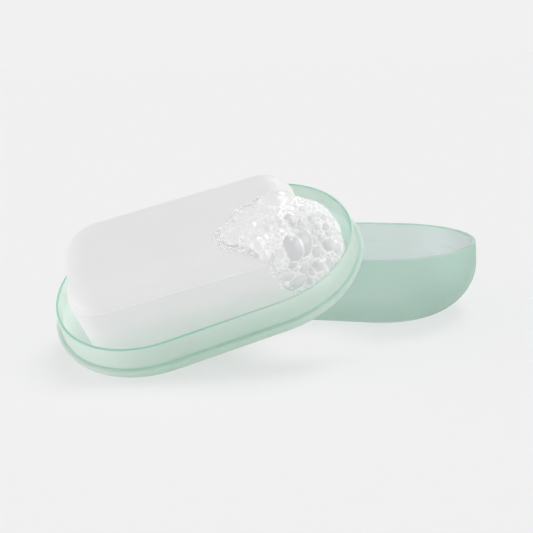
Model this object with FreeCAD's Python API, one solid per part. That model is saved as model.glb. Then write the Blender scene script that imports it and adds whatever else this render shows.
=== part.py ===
import FreeCAD, Part
import math
import os

# Travel soap box of two pill-shaped halves, shown open: the deep cover stands on its base, mouth up,
# and the shallow tray, with a wet bar of soap in it, leans on the cover's front rim.
# Millimetres, +Z up, origin at the centre of the cover's flat base, X along the cover's long axis.

# Outline that the two halves share: straight sides and half-round ends
box_length = 112.8
box_width = 74.0

# Deep cover
cover_height = 29.1
cover_widest_height = 20.9
cover_bulge = 0.4
cover_base_turn = 22.9
cover_floor = 2.2
cover_rim_wall = 1.4
cover_rim_round = 0.4
socket_draft = 0.1
socket_step = 0.5
socket_spare_depth = 0.3

# Tray
tray_body_height = 8.7
tray_base_turn = 14.1
tray_floor = 1.8
shoulder_round = 0.5
collar_height = 7.5
collar_wall = 1.0
collar_taper = 1.0
collar_clearance = 0.2

# Drain ribs that keep the soap off the tray's floor
rib_count = 5
rib_pitch = 13.0
rib_length = 34.0
rib_width = 2.6
rib_height = 1.4
rib_round = 0.6

# Bar of soap, sized by the room left round it in the tray's mouth and under the closed cover
soap_end_room = 11.7
soap_side_room = 10.3
soap_head_room = 1.1
soap_end_flat = 21.4
soap_dome_height = 7.2
soap_shoulder = 9.6
soap_side_draft = 0.8
soap_base_round = 6.0
parting_ridge = 0.25
parting_ridge_half_height = 0.35
soap_seat_gap = 0.1
soap_along_tray = -4.2
soap_across_tray = -3.0
soap_turn = -4.0

# Lather over the soap's right front corner: inset from the end, inset from the side,
# depth of the centre under the top, radius
lather_mounds = [
    (21.1, 13.1, 10.5, 12.2),
    (11.1, 18.1, 11.9, 13.8),
    (8.1, 10.1, 12.2, 13.5),
    (-0.9, 19.1, 14.2, 10.8),
]
lather_depth_in_tray = 6.0
lather_clearance = 0.4

# How the tray leans: turned about the vertical, right end raised, back edge raised
tray_turn = 24.7
tray_end_rise = 15.5
tray_lean = 24.9
tray_along_cover = -31.3
lean_gap = 0.2
lean_tolerance = 0.005

# Worked out from the sizes above
end_radius = box_width / 2
half_straight = (box_length - box_width) / 2
tray_height = tray_body_height + collar_height
collar_root = end_radius - cover_rim_wall - collar_clearance
collar_tip = collar_root - collar_taper
mouth_radius = collar_tip - collar_wall
soap_seat_height = tray_floor + rib_height + soap_seat_gap
closed_ceiling = tray_body_height + cover_height - cover_floor
soap_length = 2 * (half_straight + mouth_radius - soap_end_room)
soap_width = 2 * (mouth_radius - soap_side_room)
soap_height = closed_ceiling - soap_head_room - soap_seat_height
soap_corner = (soap_width - soap_end_flat) / 2
soap_parting_height = soap_height - soap_dome_height
UP = FreeCAD.Vector(0, 0, 1)
ALONG = FreeCAD.Vector(1, 0, 0)
QUARTER_WEIGHT = math.sqrt(0.5)


def at(reach, height):
    """Point of a half section: reach outwards from the centre line, height above the base."""
    return FreeCAD.Vector(0, reach, height)


def line(start, end):
    return Part.LineSegment(start, end).toShape()


def bow(start, middle, end):
    return Part.Arc(start, middle, end).toShape()


def quarter_round(start, corner, end):
    """Quarter ellipse that leaves start and reaches end along the two legs of the corner."""
    curve = Part.BezierCurve()
    curve.setPoles([start, corner, end])
    curve.setWeight(2, QUARTER_WEIGHT)
    return curve.toShape()


def section(edges):
    """Face inside a closed half section."""
    return Part.Face(Part.Wire(edges))


def shifted(shape, x, y, z):
    moved = shape.copy()
    moved.translate(FreeCAD.Vector(x, y, z))
    return moved


def joined(pieces):
    return pieces[0].multiFuse(pieces[1:]).removeSplitter()


def pill_body(face):
    """Half section carried round the pill outline: two straight sides and two half-round ends."""
    run = ALONG * (2 * half_straight)
    back = shifted(face, -half_straight, 0, 0).extrude(run)
    front = back.mirror(FreeCAD.Vector(0, 0, 0), FreeCAD.Vector(0, 1, 0))
    ends = []
    for side in (-1, 1):
        centre = FreeCAD.Vector(side * half_straight, 0, 0)
        ends.append(shifted(face, centre.x, 0, 0).revolve(centre, UP, -side * 180))
    return joined([back, front] + ends)


def bar_body(face, half_x, half_y, height):
    """Half section carried round a rectangle with round corners, over a solid core."""
    core = Part.makeBox(2 * half_x, 2 * half_y, height, FreeCAD.Vector(-half_x, -half_y, 0))
    pieces = [core]
    for quarter in range(4):
        run, offset = (half_x, half_y) if quarter % 2 == 0 else (half_y, half_x)
        side = shifted(face, -run, offset, 0).extrude(ALONG * (2 * run))
        centre = FreeCAD.Vector(run, offset, 0)
        corner = shifted(face, run, offset, 0).revolve(centre, UP, -90)
        for piece in (side, corner):
            piece.rotate(FreeCAD.Vector(0, 0, 0), UP, 90 * quarter)
            pieces.append(piece)
    return joined(pieces)


def make_cover():
    flat = end_radius + cover_bulge - cover_base_turn
    widest = end_radius + cover_bulge
    seat_height = cover_height - collar_height - socket_spare_depth
    socket = end_radius - cover_rim_wall
    inside = socket - socket_draft - socket_step
    rim_base = cover_height - cover_rim_round
    rim_corner = cover_rim_round * QUARTER_WEIGHT
    bow_height = (cover_widest_height + rim_base) / 2
    bow_reach = end_radius + 0.75 * cover_bulge
    outer_round = at(end_radius - cover_rim_round + rim_corner, rim_base + rim_corner)
    inner_round = at(socket + cover_rim_round - rim_corner, rim_base + rim_corner)
    return pill_body(section([
        line(at(0, 0), at(flat, 0)),
        quarter_round(at(flat, 0), at(widest, 0), at(widest, cover_widest_height)),
        bow(at(widest, cover_widest_height), at(bow_reach, bow_height), at(end_radius, rim_base)),
        bow(at(end_radius, rim_base), outer_round, at(end_radius - cover_rim_round, cover_height)),
        line(at(end_radius - cover_rim_round, cover_height), at(socket + cover_rim_round, cover_height)),
        bow(at(socket + cover_rim_round, cover_height), inner_round, at(socket, rim_base)),
        line(at(socket, rim_base), at(socket - socket_draft, seat_height)),
        line(at(socket - socket_draft, seat_height), at(inside, seat_height)),
        quarter_round(at(inside, seat_height), at(inside, cover_floor), at(flat, cover_floor)),
        line(at(flat, cover_floor), at(0, cover_floor)),
        line(at(0, cover_floor), at(0, 0)),
    ]))


def make_rib():
    """Low rib across the tray with round ends and a softened top."""
    half_run = (rib_length - rib_width) / 2
    foot = tray_floor / 2
    rise = tray_floor - foot + rib_height
    half = rib_width / 2
    bar = Part.makeBox(rib_width, 2 * half_run, rise, FreeCAD.Vector(-half, -half_run, foot))
    ends = [Part.makeCylinder(half, rise, FreeCAD.Vector(0, y, foot)) for y in (-half_run, half_run)]
    rib = joined([bar] + ends)
    top = foot + rise
    top_edges = [edge for edge in rib.Edges if edge.BoundBox.ZMin > top - rib_round / 2]
    return rib.makeFillet(rib_round, top_edges)


def make_tray():
    flat = end_radius - tray_base_turn
    shoulder = tray_body_height
    rim_round = collar_wall / 2
    rim_base = tray_height - rim_round
    inner_root = collar_root - collar_wall
    bend = shoulder_round * QUARTER_WEIGHT
    shoulder_bend = at(end_radius - shoulder_round + bend, shoulder - shoulder_round + bend)
    shell = pill_body(section([
        line(at(0, 0), at(flat, 0)),
        quarter_round(at(flat, 0), at(end_radius, 0), at(end_radius, shoulder - shoulder_round)),
        bow(at(end_radius, shoulder - shoulder_round), shoulder_bend,
            at(end_radius - shoulder_round, shoulder)),
        line(at(end_radius - shoulder_round, shoulder), at(collar_root, shoulder)),
        line(at(collar_root, shoulder), at(collar_tip, rim_base)),
        bow(at(collar_tip, rim_base), at(collar_tip - rim_round, tray_height), at(mouth_radius, rim_base)),
        line(at(mouth_radius, rim_base), at(inner_root, shoulder)),
        quarter_round(at(inner_root, shoulder), at(inner_root, tray_floor), at(flat, tray_floor)),
        line(at(flat, tray_floor), at(0, tray_floor)),
        line(at(0, tray_floor), at(0, 0)),
    ]))
    first_rib = -rib_pitch * (rib_count - 1) / 2
    ribs = [shifted(make_rib(), first_rib + rib_pitch * place, 0, 0) for place in range(rib_count)]
    return joined([shell] + ribs)


def in_tray(shape):
    """Turns and moves a shape from the soap's own place to where the soap lies on the ribs."""
    laid = shape.copy()
    laid.rotate(FreeCAD.Vector(0, 0, 0), UP, soap_turn)
    laid.translate(FreeCAD.Vector(soap_along_tray, soap_across_tray, soap_seat_height))
    return laid


def make_soap():
    low = soap_parting_height - parting_ridge_half_height
    high = soap_parting_height + parting_ridge_half_height
    reach = soap_corner
    foot = soap_corner - soap_side_draft
    bar = bar_body(section([
        line(at(0, 0), at(foot - soap_base_round, 0)),
        quarter_round(at(foot - soap_base_round, 0), at(foot, 0), at(foot, soap_base_round)),
        line(at(foot, soap_base_round), at(reach, low)),
        line(at(reach, low), at(reach + parting_ridge, soap_parting_height)),
        line(at(reach + parting_ridge, soap_parting_height), at(reach, high)),
        quarter_round(at(reach, high), at(reach, soap_height), at(reach - soap_shoulder, soap_height)),
        line(at(reach - soap_shoulder, soap_height), at(0, soap_height)),
        line(at(0, soap_height), at(0, 0)),
    ]), soap_length / 2 - soap_corner, soap_width / 2 - soap_corner, soap_height)
    return in_tray(bar)


def make_lather(soap):
    """Froth heaped on the soap's right front corner, kept inside the tray's mouth."""
    mounds = []
    for from_end, from_side, under_top, radius in lather_mounds:
        x = soap_length / 2 - from_end
        y = from_side - soap_width / 2
        mounds.append(Part.makeSphere(radius, FreeCAD.Vector(x, y, soap_height - under_top)))
    heap = in_tray(joined(mounds))
    low = tray_height - lather_depth_in_tray
    high = heap.BoundBox.ZMax + lather_clearance
    reach = mouth_radius - lather_clearance
    room = pill_body(section([
        line(at(0, low), at(reach, low)),
        line(at(reach, low), at(reach, high)),
        line(at(reach, high), at(0, high)),
        line(at(0, high), at(0, low)),
    ]))
    return heap.common(room).cut(soap)


def leaning_place(tray, cover):
    """Rests the turned tray on the floor, then slides it back until it all but touches the cover."""
    lean = FreeCAD.Rotation(tray_turn, -tray_end_rise, tray_lean)
    turned = tray.copy()
    turned.Placement = FreeCAD.Placement(FreeCAD.Vector(0, 0, 0), lean)
    drop = -turned.optimalBoundingBox(False).ZMin
    start = -2 * box_width
    place = FreeCAD.Vector(tray_along_cover, start, drop)
    gap = 2 * lean_gap
    while gap > lean_gap + lean_tolerance:
        turned.Placement = FreeCAD.Placement(place, lean)
        gap = turned.distToShape(cover)[0]
        place = place + FreeCAD.Vector(0, gap - lean_gap, 0)
    return turned.Placement


def placed(shape, placement):
    moved = shape.copy()
    moved.Placement = placement.multiply(shape.Placement)
    return moved


cover = make_cover()
tray = make_tray()
soap = make_soap()
lather = make_lather(soap)
lean = leaning_place(tray, cover)
pieces = {
    "deep_cover": cover,
    "soap_tray": placed(tray, lean),
    "soap_bar": placed(soap, lean),
    "lather": placed(lather, lean),
}
os.makedirs("parts", exist_ok=True)
for name, shape in pieces.items():
    shape.exportStep("parts/" + name + ".step")
    print(name, "volume", round(shape.Volume, 1), "solids", len(shape.Solids), "valid", shape.isValid())
print("tray base centre", lean.Base)
print("tray's way up", lean.Rotation.multVec(UP))
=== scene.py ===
import math
import random

import bpy
import numpy
from mathutils import Matrix, Vector


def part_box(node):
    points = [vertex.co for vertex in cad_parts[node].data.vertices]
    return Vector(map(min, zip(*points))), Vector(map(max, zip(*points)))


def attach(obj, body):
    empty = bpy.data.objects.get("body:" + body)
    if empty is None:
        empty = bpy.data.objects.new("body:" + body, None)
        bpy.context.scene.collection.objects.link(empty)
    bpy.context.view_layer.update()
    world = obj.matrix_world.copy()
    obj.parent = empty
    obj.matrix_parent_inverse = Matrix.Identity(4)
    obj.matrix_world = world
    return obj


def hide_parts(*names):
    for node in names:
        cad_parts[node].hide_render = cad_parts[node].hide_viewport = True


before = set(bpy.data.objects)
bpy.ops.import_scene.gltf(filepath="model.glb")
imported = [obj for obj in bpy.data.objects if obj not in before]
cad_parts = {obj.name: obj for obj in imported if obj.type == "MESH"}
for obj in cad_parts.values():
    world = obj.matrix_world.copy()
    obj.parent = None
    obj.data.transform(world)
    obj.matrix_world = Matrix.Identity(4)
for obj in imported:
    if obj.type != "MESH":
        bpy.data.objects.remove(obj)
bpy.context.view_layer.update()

# Frosted travel soap box, open: the deep cover stands mouth up and the tray, with a wet bar of soap
# and its lather, leans on the cover's rim. Metres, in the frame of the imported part.
MM = 0.001

# How close points have to be to count as one, or as lying on a line
merge_gap = 0.002 * MM
touch = 0.01 * MM

# Pill outline that both halves share, and narrow bands along the rims and at the collar's root
end_radius = 37.0 * MM
half_straight = 19.4 * MM
rim_band = 0.25 * MM
root_band = 0.6 * MM

# Steps round an end, along a side and round a small edge. Edges below the smooth angle, in degrees, are
# shaded round, and a face counts as inside where more than the inner share of it faces in.
end_steps = 48
side_steps = 10
round_steps = 4
shell_smooth = 32
inner_share = 0.25

# Deep cover
cover_height = 29.1 * MM
cover_widest_height = 20.9 * MM
cover_bulge = 0.4 * MM
cover_base_turn = 22.9 * MM
cover_floor = 2.2 * MM
cover_rim_wall = 1.4 * MM
cover_rim_round = 0.4 * MM
socket_depth = 7.8 * MM
socket_draft = 0.1 * MM
socket_step = 0.5 * MM
cover_rim_base = cover_height - cover_rim_round
cover_steps = 22
cover_flat_steps = 3
socket_steps = 3
bulge_shares = (0.2, 0.4, 0.6, 0.8, 0.94, 1.0)

# Tray
tray_body_height = 8.7 * MM
tray_base_turn = 14.1 * MM
tray_floor = 1.8 * MM
shoulder_round = 0.5 * MM
collar_height = 7.5 * MM
collar_wall = 1.0 * MM
collar_taper = 1.0 * MM
collar_clearance = 0.2 * MM
collar_root = end_radius - cover_rim_wall - collar_clearance
collar_tip = collar_root - collar_taper
mouth_radius = collar_tip - collar_wall
tray_height = tray_body_height + collar_height
collar_round = collar_wall / 2
tray_rim_base = tray_height - collar_round
tray_steps = 16
tray_flat_steps = 5
collar_steps = 4
lip_steps = 6

# Drain ribs: the end share of a rib's width rounds its ends, and what lies above the top share of its rise is
# softened
rib_count = 5
rib_pitch = 13.0 * MM
rib_length = 34.0 * MM
rib_width = 2.6 * MM
rib_height = 1.4 * MM
rib_round = 0.6 * MM
rib_end_share = 0.499
rib_end_steps = 8
rib_top_share = 0.9

# The tray's finish, in shares of its sizes: a painted line on the collar's rim, saturated for the light that
# passes along the wall to its edge, which fades along the front right, a weak painted shade line at the
# collar's root, and ends painted paler, for the light that comes through them
rim_line_rise = (0.15, 0.4)
rim_fade_along = (-0.6, 1.0)
rim_fade_across = -0.7
rim_fade = 0.8
painted_root_shade = 0.4
# Painted light at the ends: its reach, its share on the collar, and where it starts and how strong it is at
# the right
pale_left_reach = 0.9
pale_left_collar = 0.75
pale_right_from, pale_right_reach = 0.2, 0.4
pale_right = 0.7

# Bar of soap
soap_length = 82.2 * MM
soap_width = 46.2 * MM
soap_height = 31.2 * MM
soap_corner = 12.4 * MM
soap_shoulder = 9.6 * MM
soap_parting = 24.0 * MM
soap_draft = 0.8 * MM
soap_base_round = 6.0 * MM
soap_crown = 0.5 * MM
parting_ridge = 0.15 * MM
parting_half_height = 0.25 * MM
soap_base_steps = 10
soap_wall_steps = 8
soap_shoulder_steps = 16
soap_flat_steps = 4
soap_corner_steps = 20
soap_end_steps = 6
soap_side_steps = 16
soap_top_cuts = 5
soap_smooth = 28

# Where the soap lies in the tray, and how the tray leans
soap_seat = Vector((-4.2, -3.0, 3.3)) * MM
soap_turn = math.radians(-4.0)
in_tray = Matrix.Translation(soap_seat) @ Matrix.Rotation(soap_turn, 4, "Z")
tray_turn = math.radians(24.7)
tray_end_rise = math.radians(15.5)
tray_lean = math.radians(24.9)

# Lather in the soap's own frame: patches of film on the soap and mounds beyond its end,
# as centre and radius
lather_patches = [
    (Vector((18.5, -12.0, 31.0)) * MM, 8.2 * MM),
    (Vector((25.0, -6.5, 31.0)) * MM, 9.0 * MM),
    (Vector((32.0, -4.0, 31.0)) * MM, 9.4 * MM),
    (Vector((38.0, -2.5, 28.0)) * MM, 8.9 * MM),
    (Vector((27.0, -15.5, 30.0)) * MM, 9.7 * MM),
    (Vector((33.0, -18.0, 22.0)) * MM, 9.9 * MM),
    (Vector((35.5, -18.0, 14.0)) * MM, 9.9 * MM),
    (Vector((41.0, -8.0, 18.0)) * MM, 14.0 * MM),
]
lather_mounds = [
    (Vector((41.0, -3.0, 18.0)) * MM, 10.2 * MM),
    (Vector((38.0, -3.0, 22.0)) * MM, 9.0 * MM),
    (Vector((43.0, -9.0, 13.0)) * MM, 9.2 * MM),
    (Vector((45.0, 1.0, 11.0)) * MM, 8.3 * MM),
    (Vector((40.5, -17.5, 11.0)) * MM, 6.0 * MM),
]

# Depth of the film and width of its soft edge, voxels, the gaps that lather keeps, smoothing as factor and
# rounds, the seed of its draws, and the detail of the balls it is blown from
film_depth = 1.0 * MM
film_edge = 4.5 * MM
film_voxel = 0.7 * MM
lather_bottom = 10.2 * MM
lather_voxel = 0.25 * MM
lather_wall_gap = 0.4 * MM
lather_soap_gap = 0.15 * MM
lather_smooth = (0.5, 2)
lather_seed = 7
ball_detail = 4

# Bubbles: the large ones one by one, as spot and reach, and between them smaller ones, in rounds of
# falling size. They grow, and turn from white to a painted grey shade, towards one spot at the soap's front
# right corner.
large_bubbles = [
    (Vector((42.2, -21.5, 24.0)) * MM, 3.6 * MM),
    (Vector((35.6, -22.8, 26.6)) * MM, 3.3 * MM),
    (Vector((46.5, -15.4, 18.9)) * MM, 2.2 * MM),
    (Vector((40.5, -19.0, 29.5)) * MM, 2.2 * MM),
    (Vector((33.2, -24.0, 21.5)) * MM, 1.9 * MM),
    (Vector((37.6, -23.0, 17.0)) * MM, 2.2 * MM),
    (Vector((42.5, -18.3, 12.7)) * MM, 1.8 * MM),
    (Vector((33.7, -24.0, 13.5)) * MM, 2.9 * MM),
    (Vector((28.6, -24.3, 23.8)) * MM, 1.4 * MM),
    (Vector((29.7, -24.0, 26.8)) * MM, 1.7 * MM),
    (Vector((30.6, -23.8, 17.0)) * MM, 2.1 * MM),
    (Vector((22.1, -20.0, 30.2)) * MM, 1.4 * MM),
    (Vector((23.0, -23.2, 25.8)) * MM, 1.1 * MM),
    (Vector((23.7, -11.5, 32.2)) * MM, 1.8 * MM),
    (Vector((21.7, -15.0, 32.0)) * MM, 1.1 * MM),
    (Vector((26.1, -18.5, 31.2)) * MM, 1.9 * MM),
    (Vector((28.5, -15.5, 32.2)) * MM, 1.4 * MM),
    (Vector((31.2, -10.3, 32.4)) * MM, 1.7 * MM),
    (Vector((35.5, -0.5, 31.5)) * MM, 5.2 * MM),
    (Vector((41.0, -11.5, 32.5)) * MM, 2.8 * MM),
    (Vector((45.0, -11.0, 28.0)) * MM, 2.1 * MM),
    (Vector((47.2, -10.0, 22.0)) * MM, 1.7 * MM),
]

# Reach of the coarse spot, with its core and falloff, sizes and packing of the bubbles, the painted highlight
# lines where their walls meet, and the painted grey shade, in shares of the coarse spot's reach. Points are
# measured in batches.
coarse_spot = Vector((40.0, -15.0, 18.0)) * MM
coarse_reach = 26.0 * MM
coarse_core = 0.15
coarse_falloff = 1.5
fine_bubble = 0.45 * MM
coarse_bubble = 1.9 * MM
bubble_rounds = (1.0, 0.7, 0.5, 0.35)
bubble_spread = (0.8, 1.2)
bubble_packing = 0.84
bubble_sink = 0.82
bubble_line = 0.34 * MM
bubble_line_share = 0.35
bubble_line_core = 0.2
grey_from, grey_to = 0.3, 0.85
grey_share = 0.5
grey_sizes = (0.6 * MM, 2.4 * MM)
grey_spread = 0.2
point_batches = 60

# Froth: the finest bubbles, as low domes along the film's edge and over its tip. Cut and sink are shares of a
# dome's radius, the thinnest, tip and edge shares are of the film's depth, and the last two are for painted
# glints: the share of domes left without one, and their lowest tint.
froth_seed = 11
froth_count = 420
froth_detail = 2
froth_sizes = (0.2 * MM, 0.45 * MM)
froth_cut = 0.2
froth_sink = 0.4
froth_tip = 22.0 * MM
froth_thinnest = 0.02
froth_tip_share = 0.999
froth_edge_share = 0.25
froth_dark = 0.3
froth_white = 0.7

# Camera, found by fitting both halves' edges: angles in radians, lens and sensor in millimetres
camera_target = Vector((-25.37, -10.0, 19.01)) * MM
camera_distance = 364.73 * MM
camera_azimuth = 0.30826
camera_elevation = 0.22784
camera_roll = -0.0394
camera_lens = 60.79
camera_sensor = 36.0
camera_near = 10 * MM

# Plastic: a moulded grain, a broad cloudiness that changes tone and roughness a little, and linear tones for
# the outside and for each part that a piece marks. Each shell is one plastic, so the marked tones are painted
# light
# and shade: inside, collar, pale ends and rim
frost_details = {"Grain": 2.0, "Cloud": 3.0}
grain_scale = 2600
cloud_scale = 45
cloud_tones = (0.96, 1.03)
plastic_roughness = (0.38, 0.5)
plastic_ior = 1.46
grain_strength = 0.05
grain_depth = 0.05 * MM
# Cover: its inside and rim tones are painted light and shade
cover_tones = {
    "outside": (0.46, 0.71, 0.57, 1),
    "inside": (0.88, 0.81, 0.89, 1),
    "rim": (0.52, 0.75, 0.64, 1),
}
cover_transmission = 0.8
# Tray: its inside, collar, pale and rim tones are painted light and shade
tray_tones = {
    "outside": (0.76, 0.95, 0.83, 1),
    "inside": (0.66, 0.80, 0.75, 1),
    "collar": (0.77, 0.86, 0.80, 1),
    "pale": (0.91, 1.0, 0.95, 1),
    "rim": (0.30, 0.70, 0.56, 1),
}
tray_transmission = 0.68

# Soap and lather: tones as display levels from 0 to 255, noise as scale and detail, and how much light
# scatters below the surface, with its depth
soap_tones = (228, 228, 228), (233, 233, 233)
# The parting tone is a painted highlight along the ridge
parting_highlight_tone = (238, 238, 238)
soap_cloud = (60, 4.0)
soap_grain = (900, 3.0)
soap_grain_strength = 0.06
soap_grain_depth = 0.1 * MM
soap_roughness = (0.4, 0.52)
soap_gloss = 0.25
soap_scatter = (0.35, 2.5 * MM)
# Cells run from a painted grey shade to white; walls carry painted highlights
cell_tones = (206, 207, 208), (235, 235, 235)
wall_highlight_tones = (240, 240, 240), (253, 253, 253)
wall_noise = (420, 2.0)
wall_noise_limits = (0.35, 0.65)
wall_strengths = (0.3, 1.0)
lather_roughness = 0.1
lather_ior = 1.45
lather_scatter = (0.4, 1.0 * MM)
even_scatter = (1.0, 1.0, 1.0)

# Studio: levels are of a white surface. Each lamp has its azimuth from +X, elevation and softness in degrees,
# its level, and whether it casts a shadow. Sparks all cast one. Round one spot under the tray's raised end
# the
# floor takes painted light: glow in place of its lit share, so that its shadow is faint there and full from a
# distance on.
backdrop = 0.879
shadow_share = 0.4
painted_light_spot = (Vector((0.0, -48.0, 0.0)) * MM, 8.0 * MM, 34.0 * MM)
shadow_left = 0.15
dome_level = 0.5
studio_lamps = [
    ("key_above", 45, 70, 35, 0.30, True),
    ("fill_front", -72, -15, 60, 0.27, False),
    ("fill_left", -150, -10, 60, 0.36, False),
    ("side_left", -165, 12, 60, 0.16, True),
    ("fill_right", 5, 8, 60, 0.37, False),
]
sparks = [
    ("spark_back", 95, 42, 14, 0.14),
    ("spark_front", -25, 60, 14, 0.12),
]

# The lit share of the floor meets the backdrop at this gain
floor_size = 60
floor_gain = 1.07
lamp_share = sum(level * max(0, math.sin(math.radians(elevation)))
                 for _, _, elevation, _, level, _ in studio_lamps)
floor_level = floor_gain * (dome_level + lamp_share)


def srgb(levels):
    """Linear colour of a display colour given in levels from 0 to 255."""
    linear = []
    for level in levels:
        share = level / 255
        linear.append(share / 12.92 if share <= 0.04045 else ((share + 0.055) / 1.055) ** 2.4)
    return (*linear, 1.0)


def smooth_step(low, high, value):
    share = min(1.0, max(0.0, (value - low) / (high - low)))
    return share * share * (3 - 2 * share)


# Sections: lists of (reach from the centre line, height)
def quarter_curve(start, corner, end, steps):
    """Points of a quarter ellipse that leaves start and reaches end along the legs of the corner."""
    points = []
    for step in range(steps + 1):
        angle = math.pi / 2 * step / steps
        to_start = 1 - math.sin(angle)
        to_end = 1 - math.cos(angle)
        points.append(tuple(c + (s - c) * to_start + (e - c) * to_end for s, c, e in zip(start, corner, end)))
    return points


def run(start, end, steps):
    """Evenly spaced points of a straight stretch, without its first."""
    return [tuple(a + (b - a) * step / steps for a, b in zip(start, end)) for step in range(1, steps + 1)]


def cover_section():
    """Bowl with a slight bulge below its rim and a stepped socket inside it."""
    flat = end_radius + cover_bulge - cover_base_turn
    widest = end_radius + cover_bulge
    socket = end_radius - cover_rim_wall
    ledge = cover_height - socket_depth
    inside = socket - socket_draft - socket_step
    points = [(0, 0)] + run((0, 0), (flat, 0), cover_flat_steps)[:-1]
    points += quarter_curve((flat, 0), (widest, 0), (widest, cover_widest_height), cover_steps)
    for share in bulge_shares:
        height = cover_widest_height + (cover_rim_base - cover_widest_height) * share
        points.append((end_radius + cover_bulge * (1 - share * share), height))
    points += quarter_curve((end_radius, cover_rim_base), (end_radius, cover_height),
                            (end_radius - cover_rim_round, cover_height), round_steps)[1:]
    points += quarter_curve((socket + cover_rim_round, cover_height), (socket, cover_height),
                            (socket, cover_rim_base), round_steps)
    points += run((socket, cover_rim_base), (socket, cover_rim_base - rim_band), 1)
    points += run((socket, cover_rim_base - rim_band), (socket - socket_draft, ledge), socket_steps)
    points += run((socket - socket_draft, ledge), (inside, ledge), 1)
    points += quarter_curve((inside, ledge), (inside, cover_floor), (flat, cover_floor), cover_steps)[1:]
    return points + run((flat, cover_floor), (0, cover_floor), cover_flat_steps)


def tray_section():
    """Shallow dish with a shoulder and a tapered collar."""
    flat = end_radius - tray_base_turn
    inner_root = collar_root - collar_wall
    shoulder = tray_body_height
    points = [(0, 0)] + run((0, 0), (flat, 0), tray_flat_steps)[:-1]
    points += quarter_curve((flat, 0), (end_radius, 0), (end_radius, shoulder - shoulder_round), tray_steps)
    points += quarter_curve((end_radius, shoulder - shoulder_round), (end_radius, shoulder),
                            (end_radius - shoulder_round, shoulder), round_steps)[1:]
    points += run((end_radius - shoulder_round, shoulder), (collar_root, shoulder), 1)
    lip = collar_taper * rim_band / (tray_rim_base - shoulder)
    root = (collar_root - collar_taper * root_band / (tray_rim_base - shoulder), shoulder + root_band)
    points += run((collar_root, shoulder), root, 1)
    points += run(root, (collar_tip + lip, tray_rim_base - rim_band), collar_steps)
    points += run((collar_tip + lip, tray_rim_base - rim_band), (collar_tip, tray_rim_base), 1)
    for step in range(1, lip_steps + 1):
        angle = math.pi * step / lip_steps
        points.append((collar_tip - collar_round + collar_round * math.cos(angle),
                       tray_rim_base + collar_round * math.sin(angle)))
    points += run((mouth_radius, tray_rim_base), (mouth_radius + lip, tray_rim_base - rim_band), 1)
    points += run((mouth_radius + lip, tray_rim_base - rim_band), (inner_root, shoulder), collar_steps)
    points += quarter_curve((inner_root, shoulder), (inner_root, tray_floor), (flat, tray_floor),
                            tray_steps)[1:]
    return points + run((flat, tray_floor), (0, tray_floor), tray_flat_steps)


def soap_section():
    """Side of the bar at a corner, with a fine ridge at the parting line."""
    foot = soap_corner - soap_draft
    low = soap_parting - parting_half_height
    high = soap_parting + parting_half_height
    points = [(0, 0)] + run((0, 0), (foot - soap_base_round, 0), soap_flat_steps)[:-1]
    points += quarter_curve((foot - soap_base_round, 0), (foot, 0), (foot, soap_base_round), soap_base_steps)
    points += run((foot, soap_base_round), (soap_corner, low), soap_wall_steps)
    points += [(soap_corner + parting_ridge, soap_parting)]
    points += quarter_curve((soap_corner, high), (soap_corner, soap_height),
                            (soap_corner - soap_shoulder, soap_height), soap_shoulder_steps)
    return points + run((soap_corner - soap_shoulder, soap_height), (0, soap_height), soap_flat_steps)


# Modelling steps
def draw_line(name, points, x, y):
    """Opens a new piece and draws a section point by point, in the plane across X, left in edit mode."""
    bpy.ops.object.select_all(action="DESELECT")
    bpy.ops.mesh.primitive_plane_add(size=MM)
    piece = bpy.context.object
    piece.name = name
    piece.data.name = name
    bpy.ops.object.mode_set(mode="EDIT")
    bpy.ops.mesh.merge(type="CENTER")
    bpy.ops.transform.translate(value=(x, y + points[0][0], points[0][1]))
    for before, after in zip(points, points[1:]):
        step = (0, after[0] - before[0], after[1] - before[1])
        bpy.ops.mesh.extrude_vertices_move(TRANSFORM_OT_translate={"value": step})
    bpy.ops.mesh.select_all(action="SELECT")
    return piece


def turn_end(centre_x, centre_y, angle, steps):
    bpy.ops.mesh.spin(steps=steps, angle=angle, center=(centre_x, centre_y, 0), axis=(0, 0, 1))


def pull(x, y, steps):
    for _ in range(steps):
        bpy.ops.mesh.extrude_region_move(TRANSFORM_OT_translate={"value": (x / steps, y / steps, 0)})


def close_up(piece, smooth_angle):
    """Merges the seam, turns the faces outwards and shades the curves smooth."""
    bpy.ops.mesh.select_all(action="SELECT")
    bpy.ops.mesh.remove_doubles(threshold=merge_gap)
    bpy.ops.mesh.normals_make_consistent(inside=False)
    bpy.ops.object.mode_set(mode="OBJECT")
    bpy.ops.object.shade_smooth_by_angle(angle=math.radians(smooth_angle))
    return piece


def pill_shell(name, points):
    """Section carried round the pill outline: half-round end, straight side, half-round end, side."""
    piece = draw_line(name, points, half_straight, 0)
    for side in (1, -1):
        turn_end(side * half_straight, 0, math.pi, end_steps)
        pull(-side * 2 * half_straight, 0, side_steps)
    return close_up(piece, shell_smooth)


def pick_edges(piece, rule):
    """Selects the edges whose two ends pass a rule, in edit mode."""
    bpy.ops.mesh.select_all(action="DESELECT")
    bpy.ops.object.mode_set(mode="OBJECT")
    for edge in piece.data.edges:
        edge.select = rule(*[piece.data.vertices[corner].co for corner in edge.vertices])
    bpy.ops.object.mode_set(mode="EDIT")


def apply_modifier(piece, kind, **settings):
    bpy.ops.object.select_all(action="DESELECT")
    bpy.context.view_layer.objects.active = piece
    piece.select_set(True)
    modifier = piece.modifiers.new(kind.title(), kind)
    for key, value in settings.items():
        setattr(modifier, key, value)
    bpy.ops.object.modifier_apply(modifier=modifier.name)


def boolean(piece, other, operation):
    apply_modifier(piece, "BOOLEAN", object=other, operation=operation, solver="MANIFOLD")


def discard(piece):
    bpy.data.objects.remove(piece)


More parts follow.
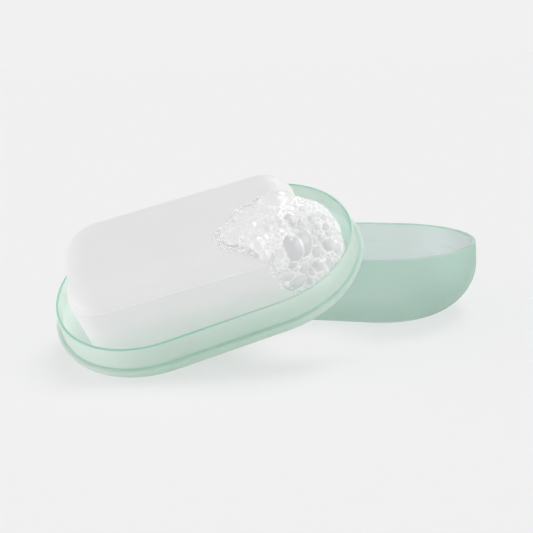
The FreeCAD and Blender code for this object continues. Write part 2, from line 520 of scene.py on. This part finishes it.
def place(piece, matrix):
    """Carries a piece to its place and leaves its object at the origin."""
    piece.data.transform(matrix)
    piece.data.update()


def mark(piece, name, rule):
    """Stores a value on each point, for the finish to read."""
    layer = piece.data.attributes.new(name, "FLOAT", "POINT")
    layer.data.foreach_set("value", [float(rule(point)) for point in piece.data.vertices])


def pill_reach(spot):
    """Distance from the line between the two ends' centres."""
    return math.hypot(max(abs(spot.x) - half_straight, 0), spot.y)


def faces_in(point, rim_base):
    """1 on the inner wall and floor of a shell, 0 outside."""
    middle = Vector((max(-half_straight, min(half_straight, point.co.x)), 0, point.co.z))
    outward = point.co - middle
    outward_share = point.normal.dot(outward.normalized()) if outward.length > touch else 0
    if point.co.z > rim_base:
        return 0
    if outward_share < -inner_share:
        return 1
    return point.normal.z > inner_share and pill_reach(point.co) < collar_root - collar_wall


def make_cover():
    """Deep half, marked inside and on its rim for painted light and shade."""
    cover = pill_shell("cover_shell", cover_section())
    # Painted light and shade: the inside and the rim's edge take tones of their own
    mark(cover, "inside", lambda point: faces_in(point, cover_rim_base))
    mark(cover, "rim", lambda point: smooth_step(cover_rim_base - rim_band, cover_rim_base, point.co.z))
    return cover


def make_rib():
    """Low bar with round ends and a softened top, standing in the tray's floor."""
    foot = tray_floor / 2
    rise = tray_floor - foot + rib_height
    bpy.ops.object.select_all(action="DESELECT")
    bpy.ops.mesh.primitive_cube_add(size=1, location=(0, 0, foot + rise / 2),
                                    scale=(rib_width, rib_length, rise))
    rib = bpy.context.object
    bpy.ops.object.transform_apply(location=True, rotation=True, scale=True)
    bpy.ops.object.mode_set(mode="EDIT")
    pick_edges(rib, lambda start, end: abs(start.z - end.z) > rise / 2)
    bpy.ops.mesh.bevel(offset=rib_width * rib_end_share, segments=rib_end_steps)
    pick_edges(rib, lambda start, end: min(start.z, end.z) > foot + rise * rib_top_share)
    bpy.ops.mesh.bevel(offset=rib_round, segments=round_steps)
    bpy.ops.object.mode_set(mode="OBJECT")
    return rib


def at_root(spot):
    """True in the corner where the collar rises from the shoulder."""
    return abs(spot.z - tray_body_height) < touch and abs(pill_reach(spot) - collar_root) < touch


def painted_rim_and_root_line(spot):
    """Painted edge light on the collar's rim, fading along the front right, and painted shade at its root."""
    start, end = (share * half_straight for share in rim_fade_along)
    front = smooth_step(start, end, spot.x) * smooth_step(0, rim_fade_across * end_radius, spot.y)
    low, high = (tray_rim_base + share * collar_wall for share in rim_line_rise)
    return max(smooth_step(low, high, spot.z) * (1 - rim_fade * front), painted_root_shade * at_root(spot))


def painted_light_end(point):
    """Painted light through the ends: the left end, most on the body, and the right end of the body's
    outside.
    """
    x = point.co.x
    on_body = point.co.z < tray_body_height
    left = smooth_step(-half_straight, -half_straight - pale_left_reach * end_radius, x)
    left *= 1 if on_body else pale_left_collar
    right = smooth_step(pale_right_from * half_straight, half_straight + pale_right_reach * end_radius, x)
    return max(left, pale_right * right * (on_body and not faces_in(point, tray_rim_base)))


def make_tray():
    """Shallow half with its ribs, marked for painted light and shade: inside, collar, rim and pale ends."""
    tray = pill_shell("tray_shell", tray_section())
    rib = make_rib()
    for number in range(rib_count):
        copy = twin(rib, Matrix.Translation((rib_pitch * (number - (rib_count - 1) / 2), 0, 0)))
        boolean(tray, copy, "UNION")
        discard(copy)
    discard(rib)
    bpy.ops.object.shade_smooth_by_angle(angle=math.radians(shell_smooth))
    mark(tray, "inside", lambda point: faces_in(point, tray_rim_base))
    mark(tray, "rim", lambda point: painted_rim_and_root_line(point.co))
    mark(tray, "pale", painted_light_end)
    # The collar's paler tone is painted light from the soap behind it
    mark(tray, "collar", lambda point: point.co.z > tray_body_height + rim_band)
    return tray


def make_soap():
    """Section carried round a rectangle with round corners, then bridged over at top and bottom."""
    half_x = soap_length / 2 - soap_corner
    half_y = soap_width / 2 - soap_corner
    soap = draw_line("soap_cake", soap_section(), half_x, half_y)
    for side in (1, -1):
        turn_end(side * half_x, side * half_y, math.pi / 2, soap_corner_steps)
        pull(0, -side * 2 * half_y, soap_end_steps)
        turn_end(side * half_x, -side * half_y, math.pi / 2, soap_corner_steps)
        pull(-side * 2 * half_x, 0, soap_side_steps)
    bpy.ops.mesh.select_all(action="SELECT")
    bpy.ops.mesh.remove_doubles(threshold=merge_gap)
    for height in (0, soap_height):
        pick_edges(soap, lambda *ends: all(
            abs(abs(end.y) - half_y) < touch and abs(end.z - height) < touch and abs(end.x) < half_x + touch
            for end in ends))
        bpy.ops.mesh.bridge_edge_loops(number_cuts=soap_top_cuts, interpolation="LINEAR", smoothness=0)
    close_up(soap, soap_smooth)
    for point in soap.data.vertices:
        over_parting = smooth_step(soap_parting, soap_height, point.co.z)
        along = 2 * point.co.x / soap_length
        across = 2 * point.co.y / soap_width
        point.co.z += soap_crown * over_parting * max(0, 1 - along * along) * max(0, 1 - across * across)
    # Painted highlight: marks the parting ridge, which the finish brightens
    mark(soap, "parting", lambda point: abs(point.co.z - soap_parting) < parting_half_height / 2)
    return soap


# Lather
def make_ball(detail):
    """One round bubble of radius 1, to be copied."""
    bpy.ops.object.select_all(action="DESELECT")
    bpy.ops.mesh.primitive_ico_sphere_add(subdivisions=detail, radius=1)
    return bpy.context.object


def twin(piece, matrix=Matrix.Identity(4)):
    """Copy with a mesh of its own, carried to its place."""
    copy = piece.copy()
    copy.data = piece.data.copy()
    copy.data.transform(matrix)
    bpy.context.collection.objects.link(copy)
    return copy


def join(pieces, name):
    bpy.ops.object.select_all(action="DESELECT")
    for piece in pieces:
        piece.select_set(True)
    bpy.context.view_layer.objects.active = pieces[0]
    bpy.ops.object.join()
    joined = bpy.context.object
    joined.name = name
    joined.data.name = name
    return joined


def blow(ball, bubbles, name):
    """One piece of many bubbles, each a copy of the ball at its centre and radius."""
    balls = [twin(ball, Matrix.Translation(centre) @ Matrix.Scale(radius, 4)) for centre, radius in bubbles]
    return join(balls, name)


def bubble_size(spot):
    """Largest reach of a small bubble at a spot."""
    near = 1 - smooth_step(coarse_core * coarse_reach, coarse_reach, (spot - coarse_spot).length)
    return fine_bubble + (coarse_bubble - fine_bubble) * near ** coarse_falloff


def cap(spot, outward, reach):
    """Bubble that shows as a low cap on the skin: (centre, radius, spot, reach)."""
    radius = reach / math.sqrt(1 - bubble_sink ** 2)
    return spot - outward * radius * bubble_sink, radius, spot, reach


def in_room(spot):
    """True inside the space in the tray's mouth and above it, or close outside it."""
    spot = in_tray @ spot
    return pill_reach(spot) < mouth_radius and spot.z > lather_bottom - film_voxel


def out_of_soap(spot):
    """Direction that leads out of the soap at a spot: away from the box inside its rounded corners."""
    reach = (soap_length / 2 - soap_corner, soap_width / 2 - soap_corner)
    inner = [max(-limit, min(limit, value)) for limit, value in zip(reach, spot)]
    inner.append(max(soap_base_round, min(soap_height - soap_shoulder, spot.z)))
    return (spot - Vector(inner)).normalized()


def scatter_bubbles(skin, core, dice):
    """Bubbles packed over the outer side of the heap's skin, the large ones first.

    Every face takes its draws, used or not, in the order of its points. So a face that is only just outer, or
    only just in the room, changes no other face's luck, and each run gives the same bubbles.
    """
    bubbles = []
    for spot, reach in large_bubbles:
        _, on_skin, outward, _ = skin.closest_point_on_mesh(spot)
        bubbles.append(cap(on_skin, outward, reach))
    spots = []
    for face in sorted(skin.data.polygons, key=lambda face: sorted(face.vertices)):
        luck = [(dice.random(), dice.uniform(*bubble_spread)) for _ in bubble_rounds]
        below = core.closest_point_on_mesh(face.center)[1]
        upward = out_of_soap(face.center)
        height = (face.center - below).dot(upward)
        outer = height > film_voxel or (height > 0 and face.normal.dot(upward) > 0)
        if outer and in_room(face.center):
            spots.append((luck, face.center.copy(), face.normal.copy()))
    for number, share in enumerate(bubble_rounds):
        for luck, spot, outward in sorted(spots, key=lambda entry: entry[0][number]):
            reach = max(fine_bubble, bubble_size(spot) * share) * luck[number][1]
            if all((spot - other).length > bubble_packing * (reach + size) for _, _, other, size in bubbles):
                bubbles.append(cap(spot, outward, reach))
    return bubbles


def bubble_tint(spot, reach, dice):
    """About 1, white, down to about 0, a painted grey shade, on the large bubbles near the coarse spot."""
    away = (spot - coarse_spot).length
    coarse = 1 - smooth_step(grey_from * coarse_reach, grey_to * coarse_reach, away)
    large = smooth_step(*grey_sizes, reach)
    return 1 - coarse * (1 - grey_share + grey_share * large) + dice.uniform(-grey_spread, grey_spread)


def bubble_walls(heap, bubbles, dice):
    """Marks the walls where bubbles meet, for a painted highlight, and gives each bubble its tint."""
    centres = numpy.array([bubble[0] for bubble in bubbles])
    radii = numpy.array([bubble[1] for bubble in bubbles])
    lines = numpy.array([min(bubble_line, bubble_line_share * bubble[3]) for bubble in bubbles])
    tints = numpy.array([bubble_tint(bubble[2], bubble[3], dice) for bubble in bubbles])
    walls = []
    shades = []
    points = numpy.array([point.co for point in heap.data.vertices])
    for places in numpy.array_split(points, point_batches):
        depths = numpy.sqrt(((places[:, None] - centres) ** 2).sum(axis=2)) - radii
        nearest = numpy.argpartition(depths, 1, axis=1)[:, :2]
        first, second = numpy.take_along_axis(depths, nearest, axis=1).T
        line = lines[nearest[:, 0]]
        share = numpy.clip((second - first - bubble_line_core * line) / ((1 - bubble_line_core) * line), 0, 1)
        walls.extend(1 - share * share * (3 - 2 * share))
        shades.extend(tints[nearest[:, 0]])
    for name, values in (("wall", walls), ("tint", shades)):
        heap.data.attributes.new(name, "FLOAT", "POINT").data.foreach_set("value", values)


def film_share(spot):
    """How fully lather covers a spot on the soap, from 0 to 1."""
    return max(smooth_step(0, film_edge, radius - (spot - centre).length)
               for centre, radius in lather_patches)


def film_on(soap):
    """Copy of the soap swollen by the depth of the film where lather covers it."""
    film = twin(soap)
    apply_modifier(film, "REMESH", mode="VOXEL", voxel_size=film_voxel)
    swell = [(point, point.normal * film_depth * film_share(point.co)) for point in film.data.vertices]
    for point, step in swell:
        point.co += step
    return film


def swollen(gap):
    """Scale about the soap's middle that moves each of its sides out by a gap."""
    middle = Matrix.Translation((0, 0, soap_height / 2))
    growth = [1 + 2 * gap / size for size in (soap_length, soap_width, soap_height)]
    return middle @ Matrix.Diagonal((*growth, 1)) @ middle.inverted()


def make_lather(soap):
    """Film on the soap and mounds at its end, covered with bubbles, cut clear of the soap and the tray."""
    dice = random.Random(lather_seed)
    ball = make_ball(ball_detail)
    core = twin(soap, swollen(lather_soap_gap))
    room = lather_room("room")
    film = film_on(soap)
    boolean(film, core, "DIFFERENCE")
    heap = join([film, blow(ball, lather_mounds, "mounds")], "lather_heap")
    apply_modifier(heap, "REMESH", mode="VOXEL", voxel_size=film_voxel)
    bubbles = scatter_bubbles(heap, core, dice)
    heap = join([heap, blow(ball, [bubble[:2] for bubble in bubbles], "cells")], "lather_heap")
    apply_modifier(heap, "REMESH", mode="VOXEL", voxel_size=lather_voxel)
    factor, iterations = lather_smooth
    apply_modifier(heap, "SMOOTH", factor=factor, iterations=iterations)
    boolean(heap, core, "DIFFERENCE")
    boolean(heap, room, "INTERSECT")
    bpy.ops.object.shade_smooth()
    bubble_walls(heap, bubbles, dice)
    for helper in (ball, core, room):
        discard(helper)
    return heap


def make_froth(soap):
    """Finest bubbles, as low domes along the film's edge and over its tip, most with a painted glint."""
    dice = random.Random(froth_seed)
    dome = make_ball(froth_detail)
    bpy.ops.object.mode_set(mode="EDIT")
    bpy.ops.mesh.bisect(plane_co=(0, 0, froth_cut), plane_no=(0, 0, 1), use_fill=True, clear_inner=True)
    bpy.ops.mesh.select_all(action="SELECT")
    bpy.ops.transform.translate(value=(0, 0, -froth_sink))
    bpy.ops.object.mode_set(mode="OBJECT")
    bpy.ops.object.shade_smooth()
    skin = film_on(soap)
    spots = []
    for face in skin.data.polygons:
        thickest = froth_tip_share if face.center.x < froth_tip else froth_edge_share
        if froth_thinnest < film_share(face.center) < thickest and face.center.z > lather_bottom:
            spots.append((face.center.copy(), face.normal.copy()))
    discard(skin)
    domes = []
    for spot, outward in dice.sample(spots, min(froth_count, len(spots))):
        turn = outward.to_track_quat("Z", "Y").to_matrix().to_4x4()
        copy = twin(dome, Matrix.Translation(spot) @ turn @ Matrix.Scale(dice.uniform(*froth_sizes), 4))
        # Painted glint: most domes get a bright wall and a white tint, the rest stay a little grey
        glint = dice.random()
        mark(copy, "wall", lambda point: glint > froth_dark)
        mark(copy, "tint", lambda point: froth_white + glint)
        domes.append(copy)
    discard(dome)
    return join(domes, "lather_froth")


def lather_room(name):
    """Space in the tray's mouth, and above it, that lather can fill."""
    reach = mouth_radius - lather_wall_gap
    top = 2 * soap_height
    room = pill_shell(name, [(0, lather_bottom), (reach, lather_bottom), (reach, top), (0, top)])
    place(room, in_tray.inverted())
    return room


# Finishes
def finish_of(name):
    material = bpy.data.materials.new(name)
    material.use_nodes = True
    return material, material.node_tree, material.node_tree.nodes["Principled BSDF"]


def feed(tree, node, inputs):
    """Links or fills a node's inputs."""
    for key, value in inputs.items():
        if isinstance(value, bpy.types.NodeSocket):
            tree.links.new(value, node.inputs[key])
        else:
            node.inputs[key].default_value = value


def add(tree, kind, inputs=None, **settings):
    """Adds a node, sets it and feeds its inputs."""
    node = tree.nodes.new(kind)
    for key, value in settings.items():
        setattr(node, key, value)
    feed(tree, node, inputs or {})
    return node


def grey(level):
    return level, level, level, 1


def mix_colour(tree, share, low, high):
    node = add(tree, "ShaderNodeMix", {0: share, 6: low, 7: high}, data_type="RGBA")
    return node.outputs[2]


def mix_value(tree, share, low, high):
    node = add(tree, "ShaderNodeMix", {0: share, 2: low, 3: high}, data_type="FLOAT")
    return node.outputs[0]


def map_range(tree, value, limits, levels, **settings):
    """Carries a value from between two limits to between two levels."""
    inputs = {0: value, 1: limits[0], 2: limits[1], 3: levels[0], 4: levels[1]}
    return add(tree, "ShaderNodeMapRange", inputs, **settings).outputs[0]


def noise(tree, scale, detail):
    """Noise from 0 to 1, fixed to the piece."""
    spot = add(tree, "ShaderNodeTexCoord").outputs["Object"]
    inputs = {"Vector": spot, "Scale": scale, "Detail": detail}
    return add(tree, "ShaderNodeTexNoise", inputs).outputs["Fac"]


def bump(tree, height, strength, depth):
    inputs = {"Height": height, "Strength": strength, "Distance": depth}
    return add(tree, "ShaderNodeBump", inputs).outputs["Normal"]


def stored(tree, name):
    """Value stored on the piece's points."""
    return add(tree, "ShaderNodeAttribute", attribute_name=name).outputs["Fac"]


def frost_group():
    """Moulded frosted surface: fine grain and broad cloudiness, both from 0 to 1."""
    group = bpy.data.node_groups.new("frosted_moulding", "ShaderNodeTree")
    for name in frost_details:
        group.interface.new_socket(name + " Scale", in_out="INPUT", socket_type="NodeSocketFloat")
        group.interface.new_socket(name, in_out="OUTPUT", socket_type="NodeSocketFloat")
    start = group.nodes.new("NodeGroupInput")
    end = group.nodes.new("NodeGroupOutput")
    for name, detail in frost_details.items():
        feed(group, end, {name: noise(group, start.outputs[name + " Scale"], detail)})
    return group


def frosted_plastic(name, frost, tones, transmission):
    """Frosted plastic: a tone for the outside, and painted light and shade tones for the parts its piece
    marks.
    """
    material, tree, plastic = finish_of(name)
    moulding = add(tree, "ShaderNodeGroup", {"Grain Scale": grain_scale, "Cloud Scale": cloud_scale},
                   node_tree=frost)
    cloud = moulding.outputs["Cloud"]
    body = tones["outside"]
    for marked in ("inside", "collar", "pale", "rim"):
        if marked in tones:
            body = mix_colour(tree, stored(tree, marked), body, tones[marked])
    cloudy = mix_value(tree, cloud, *cloud_tones)
    tone = add(tree, "ShaderNodeVectorMath", {0: body, "Scale": cloudy}, operation="SCALE")
    feed(tree, plastic, {
        "Base Color": tone.outputs["Vector"],
        "Roughness": mix_value(tree, cloud, *plastic_roughness),
        "Normal": bump(tree, moulding.outputs["Grain"], grain_strength, grain_depth),
        "IOR": plastic_ior,
        "Transmission Weight": transmission,
    })
    return material


def soap_finish():
    """Soft white soap, a little cloudy, with a painted highlight on the parting line's ridge."""
    material, tree, soap = finish_of("white_soap")
    cloud = noise(tree, *soap_cloud)
    grain = noise(tree, *soap_grain)
    body = mix_colour(tree, cloud, *map(srgb, soap_tones))
    body = mix_colour(tree, stored(tree, "parting"), body, srgb(parting_highlight_tone))
    scatter, depth = soap_scatter
    feed(tree, soap, {
        "Base Color": body,
        "Roughness": mix_value(tree, cloud, *soap_roughness),
        "Normal": bump(tree, grain, soap_grain_strength, soap_grain_depth),
        "Specular IOR Level": soap_gloss,
        "Subsurface Weight": scatter,
        "Subsurface Radius": even_scatter,
        "Subsurface Scale": depth,
    })
    return material


def lather_finish():
    """Wet bubbles, white to painted grey shade by tint, with patchy painted highlights where walls meet."""
    material, tree, lather = finish_of("wet_lather")
    # Painted highlight along the walls, made patchy by noise
    strength = map_range(tree, noise(tree, *wall_noise), wall_noise_limits, wall_strengths)
    wall = add(tree, "ShaderNodeMath", {0: stored(tree, "wall"), 1: strength}, operation="MULTIPLY")
    tint = stored(tree, "tint")
    cell = mix_colour(tree, tint, *map(srgb, cell_tones))
    line = mix_colour(tree, tint, *map(srgb, wall_highlight_tones))
    scatter, depth = lather_scatter
    feed(tree, lather, {
        "Base Color": mix_colour(tree, wall.outputs[0], cell, line),
        "Roughness": lather_roughness,
        "IOR": lather_ior,
        "Subsurface Weight": scatter,
        "Subsurface Radius": even_scatter,
        "Subsurface Scale": depth,
    })
    return material


# Studio
def seen_rays(tree):
    """1 for rays that show the backdrop: from the camera, in reflections and through clear plastic."""
    rays = add(tree, "ShaderNodeLightPath")
    seen = rays.outputs["Is Camera Ray"]
    for name in ("Is Glossy Ray", "Is Transmission Ray"):
        seen = add(tree, "ShaderNodeMath", {0: seen, 1: rays.outputs[name]}, operation="MAXIMUM").outputs[0]
    return seen


def make_floor():
    """Pale table that glows evenly, with the soft shadow in the share of its colour that lamps light."""
    bpy.ops.object.select_all(action="DESELECT")
    bpy.ops.mesh.primitive_plane_add(size=floor_size)
    floor = bpy.context.object
    floor.name = "studio_floor"
    material, tree, paint = finish_of("pale_floor")
    lit = backdrop * shadow_share / floor_level
    glow = backdrop * (1 - shadow_share)
    # Painted light: near the spot the glow takes the place of the lit share, so the shadow fades there
    middle, near, far = painted_light_spot
    spot = add(tree, "ShaderNodeTexCoord").outputs["Object"]
    away = add(tree, "ShaderNodeVectorMath", {0: spot, 1: middle}, operation="DISTANCE").outputs["Value"]
    keep = map_range(tree, away, (near, far), (shadow_left, 1.0), interpolation_type="SMOOTHSTEP")
    feed(tree, paint, {
        "Base Color": mix_colour(tree, keep, grey(0), grey(lit)),
        "Roughness": 1.0,
        "Specular IOR Level": 0.0,
        "Emission Color": mix_colour(tree, keep, grey(backdrop), grey(glow)),
        "Emission Strength": seen_rays(tree),
    })
    floor.data.materials.append(material)
    floor.visible_diffuse = False


def make_dome():
    """Even light from all round, seen as the backdrop's colour."""
    world = bpy.data.worlds.new("studio_dome")
    bpy.context.scene.world = world
    world.use_nodes = True
    tree = world.node_tree
    colour = mix_colour(tree, seen_rays(tree), grey(dome_level), grey(backdrop))
    feed(tree, tree.nodes["Background"], {"Color": colour})


def make_lamp(name, azimuth, elevation, softness, level, casts_shadow):
    """Far soft lamp that lights a white surface facing it at the given level."""
    light = bpy.data.lights.new(name, "SUN")
    light.energy = math.pi * level
    light.angle = math.radians(softness)
    light.use_shadow = casts_shadow
    lamp = bpy.data.objects.new(name, light)
    lamp.rotation_euler = (0, math.radians(90 - elevation), math.radians(azimuth))
    bpy.context.collection.objects.link(lamp)
    return lamp


def make_spark(name, azimuth, elevation, softness, level):
    """Lamp that shows only as a glint on what is wet or polished."""
    lamp = make_lamp(name, azimuth, elevation, softness, level, True)
    lamp.visible_diffuse = False
    lamp.visible_transmission = False


def make_camera():
    back = Vector((math.sin(camera_azimuth) * math.cos(camera_elevation),
                   -math.cos(camera_azimuth) * math.cos(camera_elevation),
                   math.sin(camera_elevation)))
    lens = bpy.data.cameras.new("studio_camera")
    lens.lens = camera_lens
    lens.sensor_width = camera_sensor
    lens.clip_start = camera_near
    camera = bpy.data.objects.new("studio_camera", lens)
    camera.matrix_world = (Matrix.Translation(camera_target + back * camera_distance)
                           @ Matrix.Rotation(camera_azimuth, 4, "Z")
                           @ Matrix.Rotation(math.pi / 2 - camera_elevation, 4, "X")
                           @ Matrix.Rotation(camera_roll, 4, "Z"))
    bpy.context.collection.objects.link(camera)
    bpy.context.scene.camera = camera


def leaning_place(tray):
    """Turn of the leaning tray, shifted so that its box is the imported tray's."""
    turn = (Matrix.Rotation(tray_turn, 4, "Z") @ Matrix.Rotation(-tray_end_rise, 4, "Y")
            @ Matrix.Rotation(tray_lean, 4, "X"))
    turned = [turn @ point.co for point in tray.data.vertices]
    low = Vector([min(spot[axis] for spot in turned) for axis in range(3)])
    high = Vector([max(spot[axis] for spot in turned) for axis in range(3)])
    packed_low, packed_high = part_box("soap_tray")
    return Matrix.Translation((packed_low + packed_high - low - high) / 2) @ turn


def seat(piece, body, material, node=None):
    """Fastens a finished piece to its body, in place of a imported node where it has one."""
    piece.data.materials.clear()
    piece.data.materials.append(material)
    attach(piece, body)
    if node:
        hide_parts(node)


bpy.context.scene.view_settings.view_transform = "Standard"
cover = make_cover()
tray = make_tray()
soap = make_soap()
lather = make_lather(soap)
froth = make_froth(soap)
lean = leaning_place(tray)
place(tray, lean)
for piece in (soap, lather, froth):
    place(piece, lean @ in_tray)

frost = frost_group()
cover_plastic = frosted_plastic("cover_mint", frost, cover_tones, cover_transmission)
tray_plastic = frosted_plastic("tray_mint", frost, tray_tones, tray_transmission)
seat(cover, "cover", cover_plastic, "deep_cover")
seat(tray, "tray", tray_plastic, "soap_tray")
seat(soap, "soap", soap_finish(), "soap_bar")
wet = lather_finish()
seat(lather, "soap", wet, "lather")
seat(froth, "soap", wet)

make_floor()
make_dome()
for lamp in studio_lamps:
    make_lamp(*lamp)
for spark in sparks:
    make_spark(*spark)
make_camera()
